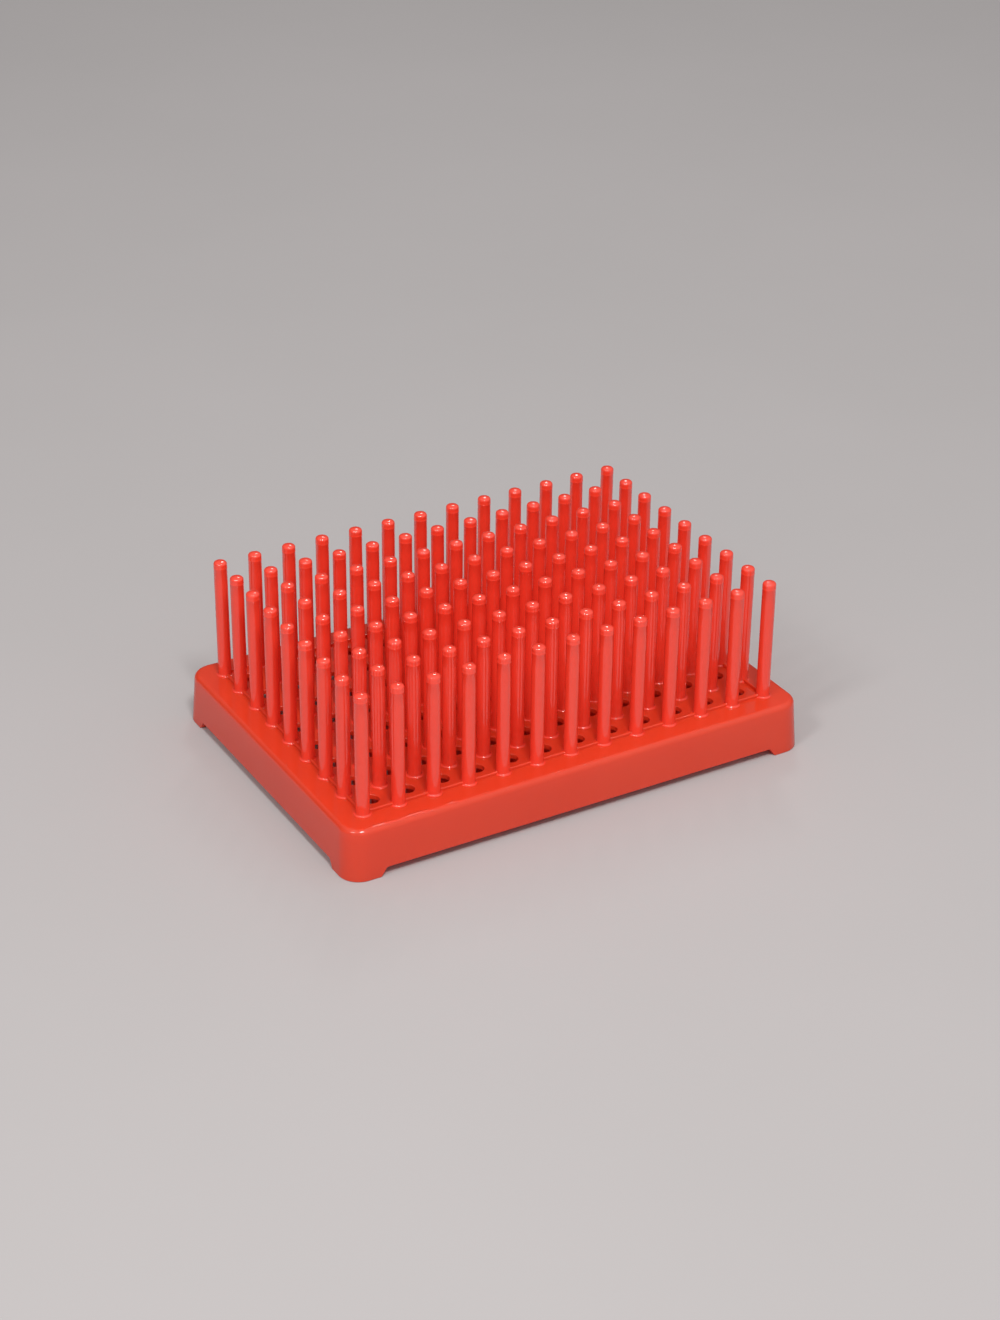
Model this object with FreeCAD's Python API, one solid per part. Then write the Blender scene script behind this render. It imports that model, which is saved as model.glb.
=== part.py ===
"""Peg rack for test tubes: a shallow moulded base that carries a grid of upright pegs.

The rack stands on four corner feet on the plane Z = 0. X runs along its long side and Y
across it, and the origin is under its centre. Lengths are in millimetres.
"""
import FreeCAD, Part
import math
import os

# Grid of pegs
PITCH = 20.0                # spacing of the pegs, along both sides
PEGS_ALONG_X = 13
PEGS_ALONG_Y = 9

# Base: an open-bottomed shell, wider at the floor than at the deck
BASE_HEIGHT = 28.4          # floor to deck
DECK_MARGIN = 15.1          # outermost peg centres to the wall, at the deck
FLOOR_MARGIN = 16.8         # the same, at the floor
CORNER_RADIUS = 11.4        # vertical corners
EDGE_RADIUS = 2.8           # rounded edge between deck and walls
WALL = 2.4
DECK_THICKNESS = 2.6
CAVITY_RADIUS = 1.5         # inside corner under the deck

# Feet: the walls reach the floor only at the four corners
FOOT_LENGTH = 18.4          # foot along each wall, at the floor
FOOT_SLOPE = 3.2            # how far the foot's end leans, measured along the wall
SKIRT_LIFT = 4.6            # gap between the floor and the walls, between the feet
FOOT_TOE_RADIUS = 0.8       # round where the foot's end meets the floor
FOOT_HEEL_RADIUS = 1.6      # round where it meets the lifted edge of the wall
RIM_ROUND = 0.5             # softened outer edge along the bottom of the walls

# Drain holes, one in the middle of every four pegs
DRAIN_RADIUS = 4.1
DRAIN_LIP = 0.5             # rounded upper edge of the hole

# Low rib that joins the outermost pegs and keeps the drips on the drained field
RIB_WIDTH = 1.7
RIB_HEIGHT = 1.7
RIB_ROUND = 0.6

# Socket under the deck for each peg's spigot
SOCKET_DEPTH = 11.0         # from the top of the deck to the end of the boss
BOSS_TOP_RADIUS = 4.6
BOSS_END_RADIUS = 4.3

# Peg: a spigot, a small flared foot, a straight shaft and a blunt round tip
PEG_HEIGHT = 68.5           # deck to tip
SHAFT_RADIUS = 3.6
FLARE_RADIUS = 1.0          # hollow curve where the shaft meets the foot
FLARE_LAND = 0.25           # upright edge of the flare, on the deck
SPIGOT_RADIUS = 2.8
SPIGOT_CHAMFER = 0.4
SHOULDER_RADIUS = 1.6       # round between the side and the crown of the tip
CROWN_RADIUS = 7.0          # shallow dome on top
TIP_LENGTH = 3.9            # from the top of the crown down to the moulding ring
RING_HEIGHT = 0.3           # moulding ring, a fine bead round the shaft
RING_RISE = 0.05
CORE_RADIUS = 1.3           # blind hole up the middle of the peg
CORE_TOP = 60.0             # end of that hole above the deck

FIELD_X = PITCH * (PEGS_ALONG_X - 1)
FIELD_Y = PITCH * (PEGS_ALONG_Y - 1)
FLARE_OUTER_RADIUS = SHAFT_RADIUS + FLARE_RADIUS
UP = FreeCAD.Vector(0, 0, 1)
ORIGIN = FreeCAD.Vector(0, 0, 0)


def line(start, end):
    return Part.makeLine(start, end)


def arc(start, middle, end):
    return Part.Arc(start, middle, end).toShape()


def margin_at(height):
    """Distance from the outermost peg centres to the outside of the wall."""
    return FLOOR_MARGIN + (DECK_MARGIN - FLOOR_MARGIN) * height / BASE_HEIGHT


def rounded_rectangle(half_x, half_y, radius, height):
    """Closed wire round a rectangle with round corners, centred on the Z axis."""
    inner_x = half_x - radius
    inner_y = half_y - radius
    diagonal = radius * math.sqrt(0.5)
    corners = [(inner_x, inner_y, 0), (-inner_x, inner_y, 90),
               (-inner_x, -inner_y, 180), (inner_x, -inner_y, 270)]
    turns = []
    for x, y, start in corners:
        points = []
        for angle in (start, start + 45, start + 90):
            dx = radius * math.cos(math.radians(angle))
            dy = radius * math.sin(math.radians(angle))
            points.append(FreeCAD.Vector(x + dx, y + dy, height))
        turns.append(points)
    edges = []
    for index, points in enumerate(turns):
        following = turns[(index + 1) % len(turns)]
        edges.append(arc(*points))
        edges.append(line(points[2], following[0]))
    return Part.Wire(edges)


def tapered_block(inset, radius, bottom, top):
    """Solid between two heights that follows the walls, a given distance inside them."""
    wires = []
    for height in (bottom, top):
        half_x = FIELD_X / 2 + margin_at(height) - inset
        half_y = FIELD_Y / 2 + margin_at(height) - inset
        wires.append(rounded_rectangle(half_x, half_y, radius, height))
    return Part.makeLoft(wires, True, True)


def edges_at(shape, height):
    """The edges of a shape that lie wholly at one height."""
    found = []
    for edge in shape.Edges:
        box = edge.BoundBox
        if abs(box.ZMin - height) < 0.01 and abs(box.ZMax - height) < 0.01:
            found.append(edge)
    return found


def cross_edges(prism, distance):
    """The edges of a prism that run along Y, at one distance either side of the centre."""
    found = []
    for edge in prism.Edges:
        box = edge.BoundBox
        if box.XLength + box.ZLength < 0.01 and abs(abs(box.XMin) - distance) < 0.01:
            found.append(edge)
    return found


def rim_edges(body, walls):
    """The lower outside edges of the base: along the feet, their ends and the lifted walls."""
    found = []
    for edge in body.Edges:
        middle = edge.valueAt((edge.FirstParameter + edge.LastParameter) / 2)
        on_wall = walls.distToShape(Part.Vertex(middle))[0] < 0.01
        if on_wall and edge.BoundBox.ZMax < SKIRT_LIFT + 0.01:
            found.append(edge)
    return found


def foot_gap_cutter(half_length, across):
    """Prism along Y that lifts the lower edge of the two walls it passes through."""
    toe = half_length - FOOT_LENGTH
    heel = toe - FOOT_SLOPE
    outline = [(-half_length, -2), (-half_length, 0), (-toe, 0), (-heel, SKIRT_LIFT),
               (heel, SKIRT_LIFT), (toe, 0), (half_length, 0), (half_length, -2)]
    points = [FreeCAD.Vector(x, -across, z) for x, z in outline]
    face = Part.Face(Part.makePolygon(points + points[:1]))
    prism = face.extrude(FreeCAD.Vector(0, 2 * across, 0))
    prism = prism.makeFillet(FOOT_HEEL_RADIUS, cross_edges(prism, heel))
    return prism.makeFillet(FOOT_TOE_RADIUS, cross_edges(prism, toe))


def turned(profile):
    """Solid of revolution about Z from a closed profile of edges in the XZ plane."""
    face = Part.Face(Part.Wire(profile))
    return face.revolve(ORIGIN, UP, 360)


def point(radius, height):
    return FreeCAD.Vector(radius, 0, height)


def on_arc(centre, height, radius, angle):
    """Point of a profile's arc, at an angle above the horizontal."""
    return point(centre + radius * math.cos(angle), height + radius * math.sin(angle))


def make_peg():
    """One peg, with the top of the deck at Z = 0."""
    ring_low = PEG_HEIGHT - TIP_LENGTH - RING_HEIGHT
    ring_high = PEG_HEIGHT - TIP_LENGTH
    flare_top = FLARE_LAND + FLARE_RADIUS
    short = FLARE_RADIUS * math.sqrt(0.5)
    shoulder_centre = SHAFT_RADIUS - SHOULDER_RADIUS
    join = math.acos(shoulder_centre / (CROWN_RADIUS - SHOULDER_RADIUS))
    crown_base = PEG_HEIGHT - CROWN_RADIUS
    shoulder = crown_base + (CROWN_RADIUS - SHOULDER_RADIUS) * math.sin(join)
    crown_half = (join + math.pi / 2) / 2
    profile = [
        line(point(CORE_RADIUS, -SOCKET_DEPTH), point(SPIGOT_RADIUS - SPIGOT_CHAMFER, -SOCKET_DEPTH)),
        line(point(SPIGOT_RADIUS - SPIGOT_CHAMFER, -SOCKET_DEPTH),
             point(SPIGOT_RADIUS, SPIGOT_CHAMFER - SOCKET_DEPTH)),
        line(point(SPIGOT_RADIUS, SPIGOT_CHAMFER - SOCKET_DEPTH), point(SPIGOT_RADIUS, 0)),
        line(point(SPIGOT_RADIUS, 0), point(FLARE_OUTER_RADIUS, 0)),
        line(point(FLARE_OUTER_RADIUS, 0), point(FLARE_OUTER_RADIUS, FLARE_LAND)),
        arc(point(FLARE_OUTER_RADIUS, FLARE_LAND),
            point(FLARE_OUTER_RADIUS - short, flare_top - short),
            point(SHAFT_RADIUS, flare_top)),
        line(point(SHAFT_RADIUS, flare_top), point(SHAFT_RADIUS, ring_low)),
        arc(point(SHAFT_RADIUS, ring_low),
            point(SHAFT_RADIUS + RING_RISE, ring_low + RING_HEIGHT / 2),
            point(SHAFT_RADIUS, ring_high)),
        line(point(SHAFT_RADIUS, ring_high), point(SHAFT_RADIUS, shoulder)),
        arc(point(SHAFT_RADIUS, shoulder),
            on_arc(shoulder_centre, shoulder, SHOULDER_RADIUS, join / 2),
            on_arc(shoulder_centre, shoulder, SHOULDER_RADIUS, join)),
        arc(on_arc(0, crown_base, CROWN_RADIUS, join),
            on_arc(0, crown_base, CROWN_RADIUS, crown_half),
            point(0, PEG_HEIGHT)),
        line(point(0, PEG_HEIGHT), point(0, CORE_TOP)),
        line(point(0, CORE_TOP), point(CORE_RADIUS, CORE_TOP)),
        line(point(CORE_RADIUS, CORE_TOP), point(CORE_RADIUS, -SOCKET_DEPTH)),
    ]
    return turned(profile)


def peg_place(column, row):
    """Centre of a peg's foot on the deck; columns count along X and rows along Y."""
    x = column * PITCH - FIELD_X / 2
    y = row * PITCH - FIELD_Y / 2
    return FreeCAD.Vector(x, y, BASE_HEIGHT)


def copies(shape, places):
    """Copies of a shape, moved to each place."""
    made = []
    for place in places:
        copy = shape.copy()
        copy.translate(place)
        made.append(copy)
    return made


def make_shell():
    """The base's walls and deck, before its sockets, holes and rib."""
    outer = tapered_block(0, CORNER_RADIUS, 0, BASE_HEIGHT)
    walls = Part.makeCompound([face for face in outer.Faces if face.BoundBox.ZLength > 1])
    outer = outer.makeFillet(EDGE_RADIUS, edges_at(outer, BASE_HEIGHT))
    cavity_top = BASE_HEIGHT - DECK_THICKNESS
    cavity = tapered_block(WALL, CORNER_RADIUS - WALL, -1, cavity_top)
    cavity = cavity.makeFillet(CAVITY_RADIUS, edges_at(cavity, cavity_top))
    half_x = FIELD_X / 2 + FLOOR_MARGIN
    half_y = FIELD_Y / 2 + FLOOR_MARGIN
    long_gaps = foot_gap_cutter(half_x, half_y + 1)
    short_gaps = foot_gap_cutter(half_y, half_x + 1)
    short_gaps.rotate(ORIGIN, UP, 90)
    body = outer.cut([long_gaps, short_gaps])
    body = body.makeFillet(RIM_ROUND, rim_edges(body, walls))
    return body.cut(cavity)


def make_boss():
    """Socket boss under the deck, still solid; it overlaps the deck to join it."""
    overlap = DECK_THICKNESS / 2
    length = SOCKET_DEPTH - overlap
    return Part.makeCone(BOSS_END_RADIUS, BOSS_TOP_RADIUS, length, point(0, -SOCKET_DEPTH), UP)


def make_drain_cutter():
    """Round hole through the deck with a rounded upper edge."""
    outer = DRAIN_RADIUS + DRAIN_LIP
    part = DRAIN_LIP * math.sqrt(0.5)
    bottom = -DECK_THICKNESS - 1
    profile = [
        line(point(0, bottom), point(DRAIN_RADIUS, bottom)),
        line(point(DRAIN_RADIUS, bottom), point(DRAIN_RADIUS, -DRAIN_LIP)),
        arc(point(DRAIN_RADIUS, -DRAIN_LIP), point(outer - part, part - DRAIN_LIP), point(outer, 0)),
        line(point(outer, 0), point(outer, 1)),
        line(point(outer, 1), point(0, 1)),
        line(point(0, 1), point(0, bottom)),
    ]
    return turned(profile)


def make_rib_span(peg):
    """Rib along X from one peg to the next, shaped to the two pegs' feet."""
    low = point(0, -DECK_THICKNESS / 2)
    low.y = -RIB_WIDTH / 2
    rib = Part.makeBox(PITCH, RIB_WIDTH, RIB_HEIGHT + DECK_THICKNESS / 2, low)
    top_edges = [edge for edge in edges_at(rib, RIB_HEIGHT) if edge.BoundBox.XLength > 1]
    rib = rib.makeFillet(RIB_ROUND, top_edges)
    neighbour = peg.copy()
    neighbour.translate(FreeCAD.Vector(PITCH, 0, 0))
    core = Part.makeCylinder(SPIGOT_RADIUS, 3 * RIB_HEIGHT, point(0, -RIB_HEIGHT), UP)
    next_core = core.copy()
    next_core.translate(FreeCAD.Vector(PITCH, 0, 0))
    return rib.cut([peg, neighbour, core, next_core])


def make_rib_spans(peg):
    """All the spans of the rib, round the rectangle of the outermost pegs."""
    along_x = make_rib_span(peg)
    along_y = along_x.copy()
    along_y.rotate(ORIGIN, UP, 90)
    last_row = PEGS_ALONG_Y - 1
    last_column = PEGS_ALONG_X - 1
    x_places = [peg_place(column, row) for column in range(last_column) for row in (0, last_row)]
    y_places = [peg_place(column, row) for row in range(last_row) for column in (0, last_column)]
    return copies(along_x, x_places) + copies(along_y, y_places)


def make_base(peg):
    peg_places = [peg_place(column, row)
                  for column in range(PEGS_ALONG_X) for row in range(PEGS_ALONG_Y)]
    drain_places = [peg_place(column + 0.5, row + 0.5)
                    for column in range(PEGS_ALONG_X - 1) for row in range(PEGS_ALONG_Y - 1)]
    socket = Part.makeCylinder(SPIGOT_RADIUS, SOCKET_DEPTH + 2, point(0, -SOCKET_DEPTH - 1), UP)
    base = make_shell()
    base = base.multiFuse(copies(make_boss(), peg_places))
    base = base.cut(copies(make_drain_cutter(), drain_places))
    base = base.cut(copies(socket, peg_places))
    base = base.multiFuse(make_rib_spans(peg))
    return base.removeSplitter()


def export(shape, node):
    """Write one node, after checking that it is made of sound solids."""
    assert shape.isValid(), node
    volume = sum(solid.Volume for solid in shape.Solids)
    print(node, len(shape.Solids), "solids", round(volume / 1000, 2), "cm3")
    shape.exportStep("parts/" + node + ".step")


def main():
    os.makedirs("parts", exist_ok=True)
    peg = make_peg()
    export(make_base(peg), "base")
    for column in range(PEGS_ALONG_X):
        places = [peg_place(column, row) for row in range(PEGS_ALONG_Y)]
        export(Part.makeCompound(copies(peg, places)), "peg_row_%02d" % (column + 1))


main()
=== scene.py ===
"""Looks for the test tube peg rack: glossy moulded red plastic on a plain pale floor.

Everything is in metres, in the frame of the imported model: Z is up, X runs along the rack's
long side, and the feet stand on Z = 0.
"""

import math
import random

import bpy
from mathutils import Matrix, Vector


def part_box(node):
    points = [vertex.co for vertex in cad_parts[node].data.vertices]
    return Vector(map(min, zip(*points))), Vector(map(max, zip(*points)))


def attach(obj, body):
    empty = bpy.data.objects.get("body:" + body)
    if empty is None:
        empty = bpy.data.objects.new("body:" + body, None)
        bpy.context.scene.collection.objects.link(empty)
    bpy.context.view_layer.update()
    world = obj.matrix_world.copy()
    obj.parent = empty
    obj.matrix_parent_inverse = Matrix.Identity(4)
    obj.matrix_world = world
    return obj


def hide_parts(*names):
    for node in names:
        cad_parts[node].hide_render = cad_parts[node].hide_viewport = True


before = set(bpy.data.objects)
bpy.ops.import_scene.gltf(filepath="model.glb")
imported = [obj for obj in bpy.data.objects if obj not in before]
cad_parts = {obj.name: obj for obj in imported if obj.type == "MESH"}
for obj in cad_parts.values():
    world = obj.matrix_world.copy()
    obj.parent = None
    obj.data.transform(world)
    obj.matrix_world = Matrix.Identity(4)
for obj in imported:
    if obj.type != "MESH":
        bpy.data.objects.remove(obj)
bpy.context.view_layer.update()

MM = 0.001
random.seed(7)


# ---------------------------------------------------------------- node helpers

class Tree:
    """A node material under construction, with short calls for adding and joining nodes."""

    def __init__(self, name):
        self.material = bpy.data.materials.new(name)
        self.material.use_nodes = True
        self.nodes = self.material.node_tree.nodes
        self.links = self.material.node_tree.links
        self.shader = self.nodes["Principled BSDF"]
        self.place = self.add("ShaderNodeTexCoord").outputs["Object"]

    def add(self, kind, **settings):
        node = self.nodes.new(kind)
        for key, value in settings.items():
            setattr(node, key, value)
        return node

    def join(self, source, target):
        self.links.new(source, target)

    def scaled_place(self, scale):
        """Object coordinates, scaled by a different amount along each axis."""
        mapping = self.add("ShaderNodeMapping")
        mapping.inputs["Scale"].default_value = scale
        self.join(self.place, mapping.inputs["Vector"])
        return mapping.outputs["Vector"]

    def noise(self, scale, detail, streaks=(1, 1, 1)):
        """Cloudy noise, drawn out along an axis where streaks is below 1."""
        node = self.add("ShaderNodeTexNoise")
        node.inputs["Scale"].default_value = scale
        node.inputs["Detail"].default_value = detail
        node.inputs["Roughness"].default_value = 0.55
        self.join(self.scaled_place(streaks), node.inputs["Vector"])
        return node.outputs["Fac"]

    def spread(self, noise, low, high):
        """Map the part of a noise's range that it mostly fills to the range from low to high."""
        node = self.add("ShaderNodeMapRange")
        node.inputs["From Min"].default_value = 0.3
        node.inputs["From Max"].default_value = 0.7
        node.inputs["To Min"].default_value = low
        node.inputs["To Max"].default_value = high
        self.join(noise, node.inputs["Value"])
        return node.outputs["Result"]

    def blend(self, noise, first, second):
        """A colour that wanders between first and second with the noise."""
        node = self.add("ShaderNodeMix", data_type="RGBA")
        self.join(self.spread(noise, 0, 1), node.inputs["Factor"])
        node.inputs["A"].default_value = (*first, 1)
        node.inputs["B"].default_value = (*second, 1)
        return node.outputs["Result"]

    def bump(self, height, distance, strength, below=None):
        """A normal bent by a height pattern, on top of the normal below if there is one."""
        node = self.add("ShaderNodeBump")
        node.inputs["Distance"].default_value = distance
        node.inputs["Strength"].default_value = strength
        self.join(height, node.inputs["Height"])
        if below is not None:
            self.join(below, node.inputs["Normal"])
        return node.outputs["Normal"]


# ------------------------------------------------------------------- materials

PLASTIC_IOR = 1.52
SKIN_ROUGHNESS = 0.07
SKIN_IOR = 1.7
PASSED_LIGHT = (1.0, 0.14, 0.09, 1)     # the colour of light that comes through a wall
FLOW_SCALE = 14                         # this and the other scales are noise cells per metre
SHEEN_SCALE = 60
RIPPLE_SCALE = 90
RIPPLE_HEIGHT = 0.03 * MM
RIPPLE_STRENGTH = 0.35
GRAIN_SCALE = 2200
GRAIN_HEIGHT = 0.004 * MM
GRAIN_STRENGTH = 0.5

CLOUD_SCALE = 3
FIBRE_SCALE = 900
FIBRE_HEIGHT = 0.05 * MM
FIBRE_STRENGTH = 0.3
PAPER_ROUGHNESS = 0.85


def moulded_plastic(name, light, dark, gloss, streaks, skin, through):
    """Glossy moulded plastic: faint colour flow, uneven gloss and a very fine ripple.

    light and dark are the ends of the colour flow, gloss is the range of the roughness, and
    streaks draws the patterns out along an axis where it is below 1. skin is the strength of
    the glassy skin that the polished mould leaves, and through the share of the light that a
    thin wall lets pass.
    """
    tree = Tree(name)
    flow = tree.noise(FLOW_SCALE, 4, streaks)
    tree.join(tree.blend(flow, dark, light), tree.shader.inputs["Base Color"])
    sheen = tree.noise(SHEEN_SCALE, 5, streaks)
    tree.join(tree.spread(sheen, *gloss), tree.shader.inputs["Roughness"])
    ripple = tree.bump(tree.noise(RIPPLE_SCALE, 2, streaks), RIPPLE_HEIGHT, RIPPLE_STRENGTH)
    grain = tree.bump(tree.noise(GRAIN_SCALE, 2), GRAIN_HEIGHT, GRAIN_STRENGTH, below=ripple)
    tree.join(grain, tree.shader.inputs["Normal"])
    tree.shader.inputs["IOR"].default_value = PLASTIC_IOR
    tree.shader.inputs["Coat Weight"].default_value = skin
    tree.shader.inputs["Coat Roughness"].default_value = SKIN_ROUGHNESS
    tree.shader.inputs["Coat IOR"].default_value = SKIN_IOR
    passed = tree.add("ShaderNodeBsdfTranslucent")
    passed.inputs["Color"].default_value = PASSED_LIGHT
    mixed = tree.add("ShaderNodeMixShader")
    mixed.inputs["Fac"].default_value = through
    tree.join(tree.shader.outputs["BSDF"], mixed.inputs[1])
    tree.join(passed.outputs["BSDF"], mixed.inputs[2])
    tree.join(mixed.outputs["Shader"], tree.nodes["Material Output"].inputs["Surface"])
    return tree.material


def floor_paper():
    """Matt pale grey paper with a faint fibre."""
    tree = Tree("floor_paper")
    cloud = tree.noise(CLOUD_SCALE, 4)
    colour = tree.blend(cloud, (0.420, 0.395, 0.391), (0.433, 0.406, 0.403))
    tree.join(colour, tree.shader.inputs["Base Color"])
    fibre = tree.bump(tree.noise(FIBRE_SCALE, 3), FIBRE_HEIGHT, FIBRE_STRENGTH)
    tree.join(fibre, tree.shader.inputs["Normal"])
    tree.shader.inputs["Roughness"].default_value = PAPER_ROUGHNESS
    return tree.material


# ------------------------------------------------------------------------ pegs

PEG_HEIGHT = 68.5 * MM          # deck to tip
SOCKET_DEPTH = 11.0 * MM        # deck to the end of the spigot
SHAFT_RADIUS = 3.6 * MM
FLARE_RADIUS = 1.0 * MM
FLARE_LAND = 0.25 * MM          # upright edge of the flared foot
SPIGOT_RADIUS = 2.8 * MM
SPIGOT_CHAMFER = 0.4 * MM
SHOULDER_RADIUS = 1.6 * MM
CROWN_RADIUS = 7.0 * MM
TIP_LENGTH = 3.9 * MM           # top of the crown down to the moulding ring
RING_HEIGHT = 0.3 * MM
RING_RISE = 0.05 * MM
CORE_RADIUS = 1.3 * MM          # the blind hole up the peg
CORE_TOP = 60.0 * MM            # above the deck
FLARE_OUTER_RADIUS = SHAFT_RADIUS + FLARE_RADIUS
PEGS_IN_ROW = 9
SIDES = 40
RING_STEPS = 5
ON_AXIS = 1e-9                  # a radius below this is a point on the peg's axis
LEAN = 0.12                     # degrees, the spread of the pegs' lean
SHARP_ANGLE = 42                # degrees between faces whose edge stays sharp


def bend(centre, radius, start, end, steps):
    """Points along an arc of the profile, from start to end degrees; 0 points outwards, 90 up."""
    points = []
    for step in range(steps + 1):
        angle = math.radians(start + (end - start) * step / steps)
        points.append((centre[0] + radius * math.cos(angle),
                       centre[1] + radius * math.sin(angle)))
    return points


def straight(radius, low, high, steps):
    """Points along a straight upright stretch of the profile."""
    return [(radius, low + (high - low) * step / steps) for step in range(steps + 1)]


def peg_profile():
    """Radius and height above the deck, from the end of the core round to the tip."""
    ring_low = PEG_HEIGHT - TIP_LENGTH - RING_HEIGHT
    ring_high = PEG_HEIGHT - TIP_LENGTH
    flare_top = FLARE_LAND + FLARE_RADIUS
    shoulder_centre = SHAFT_RADIUS - SHOULDER_RADIUS
    join = math.acos(shoulder_centre / (CROWN_RADIUS - SHOULDER_RADIUS))
    crown_base = PEG_HEIGHT - CROWN_RADIUS
    shoulder = crown_base + (CROWN_RADIUS - SHOULDER_RADIUS) * math.sin(join)
    core_spring = CORE_TOP - CORE_RADIUS
    profile = bend((0, core_spring), CORE_RADIUS, 90, 0, steps=5)
    profile += straight(CORE_RADIUS, core_spring, -SOCKET_DEPTH, steps=3)[1:]
    profile += [(SPIGOT_RADIUS - SPIGOT_CHAMFER, -SOCKET_DEPTH)]
    profile += straight(SPIGOT_RADIUS, SPIGOT_CHAMFER - SOCKET_DEPTH, 0, steps=2)
    profile += [(FLARE_OUTER_RADIUS, 0)]
    profile += bend((FLARE_OUTER_RADIUS, flare_top), FLARE_RADIUS, 270, 180, steps=7)
    profile += straight(SHAFT_RADIUS, flare_top, ring_low, steps=8)[1:]
    for step in range(1, RING_STEPS):
        share = step / RING_STEPS
        rise = RING_RISE * math.sin(math.pi * share)
        profile.append((SHAFT_RADIUS + rise, ring_low + RING_HEIGHT * share))
    profile += straight(SHAFT_RADIUS, ring_high, shoulder, steps=2)
    profile += bend((shoulder_centre, shoulder), SHOULDER_RADIUS, 0, math.degrees(join), steps=8)[1:]
    profile += bend((0, crown_base), CROWN_RADIUS, math.degrees(join), 90, steps=4)[1:]
    return profile


def turned_peg(profile):
    """Points and faces of one peg, standing on the origin."""
    points = []
    faces = []
    rings = []
    for radius, height in profile:
        if radius < ON_AXIS:
            rings.append([len(points)] * SIDES)
            points.append(Vector((0, 0, height)))
            continue
        rings.append(list(range(len(points), len(points) + SIDES)))
        for side in range(SIDES):
            angle = 2 * math.pi * side / SIDES
            points.append(Vector((radius * math.cos(angle), radius * math.sin(angle), height)))
    for low, high in zip(rings, rings[1:]):
        for side in range(SIDES):
            after = (side + 1) % SIDES
            corners = [low[side], low[after], high[after], high[side]]
            faces.append(list(dict.fromkeys(corners)))
    return points, faces


def peg_row(name, node, material):
    """A row of pegs in place of one CAD node, each with a slight lean of its own."""
    low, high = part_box(node)
    x = (low[0] + high[0]) / 2
    first = low[1] + FLARE_OUTER_RADIUS
    pitch = (high[1] - low[1] - 2 * FLARE_OUTER_RADIUS) / (PEGS_IN_ROW - 1)
    deck = high[2] - PEG_HEIGHT
    points, faces = turned_peg(peg_profile())
    all_points = []
    all_faces = []
    for index in range(PEGS_IN_ROW):
        lean = Matrix.Rotation(math.radians(random.gauss(0, LEAN)), 4, "X")
        lean = lean @ Matrix.Rotation(math.radians(random.gauss(0, LEAN)), 4, "Y")
        turn = Matrix.Rotation(random.uniform(0, math.tau), 4, "Z")
        place = Matrix.Translation((x, first + pitch * index, deck)) @ lean @ turn
        start = len(all_points)
        all_points += [place @ point for point in points]
        all_faces += [[start + corner for corner in face] for face in faces]
    mesh = bpy.data.meshes.new(name)
    mesh.from_pydata(all_points, [], all_faces)
    mesh.shade_smooth()
    mesh.set_sharp_from_angle(angle=math.radians(SHARP_ANGLE))
    mesh.materials.append(material)
    piece = bpy.data.objects.new(name, mesh)
    bpy.context.scene.collection.objects.link(piece)
    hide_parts(node)
    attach(piece, "root")


# ------------------------------------------------------------- camera and stage

CAMERA_AZIMUTH = 30.4           # degrees from +Y towards +X that the camera looks
CAMERA_DROP = 29.3              # degrees that it looks down
CAMERA_ROLL = 0.64              # degrees
CAMERA_DISTANCE = 1.4673
CAMERA_REACH = 50               # how far the camera sees
AIM = Vector((0.0162, 0.0199, 0.0292))
LENS = 73.6                     # millimetres, for the long side of the picture below
FILM = 36                       # millimetres

FLOOR_SIZE = 24
BRIGHT_SIDE = (-0.06, -0.55, 0.83)      # towards the brightest part of the studio
DIM_FROM = -0.2                 # cosine of the angle to BRIGHT_SIDE where the studio is dimmest
BRIGHT_FROM = 0.9               # and where it is brightest
DIM_LEVEL = 0.08
BRIGHT_LEVEL = 0.80
SOFT_BOX_DISTANCE = 2.0
SOFT_BOX_SIZE = 0.32


def add_camera():
    data = bpy.data.cameras.new("camera")
    data.lens = LENS
    data.sensor_width = FILM
    data.clip_end = CAMERA_REACH
    camera = bpy.data.objects.new("camera", data)
    bpy.context.scene.collection.objects.link(camera)
    turn = Matrix.Rotation(math.radians(-CAMERA_AZIMUTH), 4, "Z")
    tilt = Matrix.Rotation(math.radians(90 - CAMERA_DROP), 4, "X")
    roll = Matrix.Rotation(math.radians(CAMERA_ROLL), 4, "Z")
    away = (turn @ tilt) @ Vector((0, 0, CAMERA_DISTANCE))
    camera.matrix_world = Matrix.Translation(AIM + away) @ turn @ tilt @ roll
    bpy.context.scene.camera = camera


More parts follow.
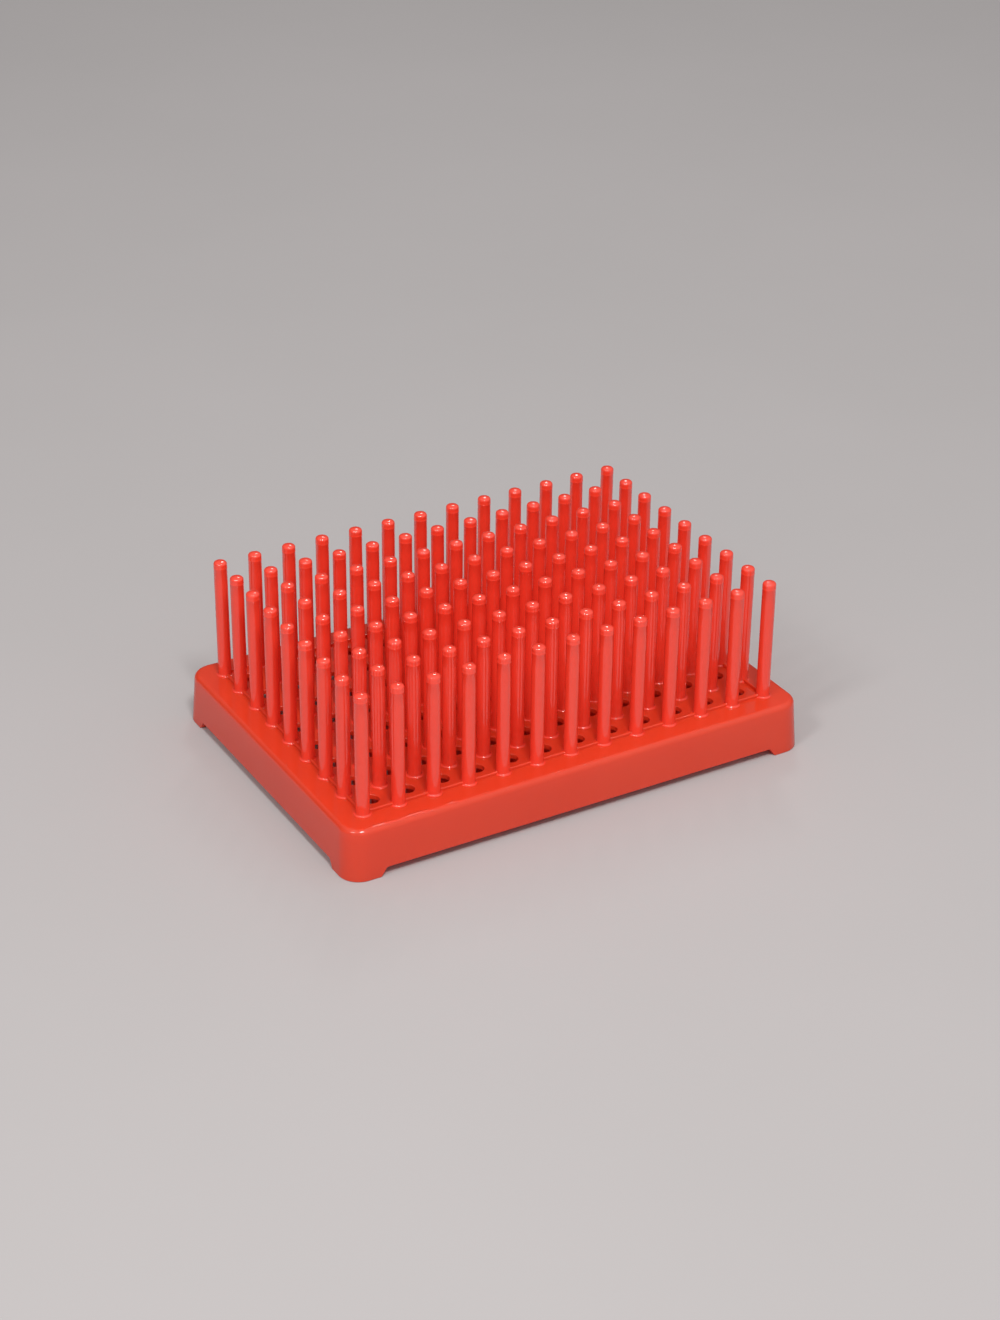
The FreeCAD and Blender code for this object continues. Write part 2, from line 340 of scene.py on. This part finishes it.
def add_soft_box(name, direction, watts):
    """A square soft box that faces the middle of the rack."""
    data = bpy.data.lights.new(name, "AREA")
    data.size = SOFT_BOX_SIZE
    data.energy = watts
    light = bpy.data.objects.new(name, data)
    bpy.context.scene.collection.objects.link(light)
    direction = Vector(direction).normalized()
    light.location = direction * SOFT_BOX_DISTANCE
    light.rotation_euler = direction.to_track_quat("Z", "Y").to_euler()


def add_floor():
    bpy.ops.mesh.primitive_plane_add(size=FLOOR_SIZE)
    floor = bpy.context.object
    floor.name = "floor"
    floor.data.materials.append(floor_paper())


def set_world():
    """A studio that is dim behind the rack and brighter on the camera's side."""
    world = bpy.data.worlds.new("studio")
    world.use_nodes = True
    nodes = world.node_tree.nodes
    links = world.node_tree.links
    side = nodes.new("ShaderNodeVectorMath")
    side.operation = "DOT_PRODUCT"
    side.inputs[1].default_value = BRIGHT_SIDE
    level = nodes.new("ShaderNodeMapRange")
    level.inputs["From Min"].default_value = DIM_FROM
    level.inputs["From Max"].default_value = BRIGHT_FROM
    level.inputs["To Min"].default_value = DIM_LEVEL
    level.inputs["To Max"].default_value = BRIGHT_LEVEL
    links.new(nodes.new("ShaderNodeTexCoord").outputs["Generated"], side.inputs[0])
    links.new(side.outputs["Value"], level.inputs["Value"])
    links.new(level.outputs["Result"], nodes["Background"].inputs["Strength"])
    nodes["Background"].inputs["Color"].default_value = (1, 1, 1, 1)
    bpy.context.scene.world = world


add_camera()
add_floor()
set_world()
add_soft_box("soft_box_right", (-0.17, -0.52, 0.84), 19.5)
add_soft_box("soft_box_left", (-0.64, -0.28, 0.71), 9.2)
add_soft_box("soft_box_back", (0.37, 0.55, 0.75), 4.0)
bpy.context.scene.view_settings.view_transform = "Standard"


# -------------------------------------------------------------------- the rack

base_plastic = moulded_plastic("base_plastic", light=(0.87, 0.070, 0.023), dark=(0.83, 0.060, 0.019),
                               gloss=(0.12, 0.20), streaks=(1, 1, 1), skin=0.5, through=0.35)
peg_plastic = moulded_plastic("peg_plastic", light=(1.0, 0.072, 0.036), dark=(0.98, 0.062, 0.031),
                              gloss=(0.07, 0.12), streaks=(3, 3, 0.4), skin=0.8, through=0.25)
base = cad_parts["base"]
base.data.materials.clear()
base.data.materials.append(base_plastic)
rows = sorted(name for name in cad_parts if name.startswith("peg_row"))
for node in rows:
    peg_row(node.replace("peg_row", "pegs"), node, peg_plastic)
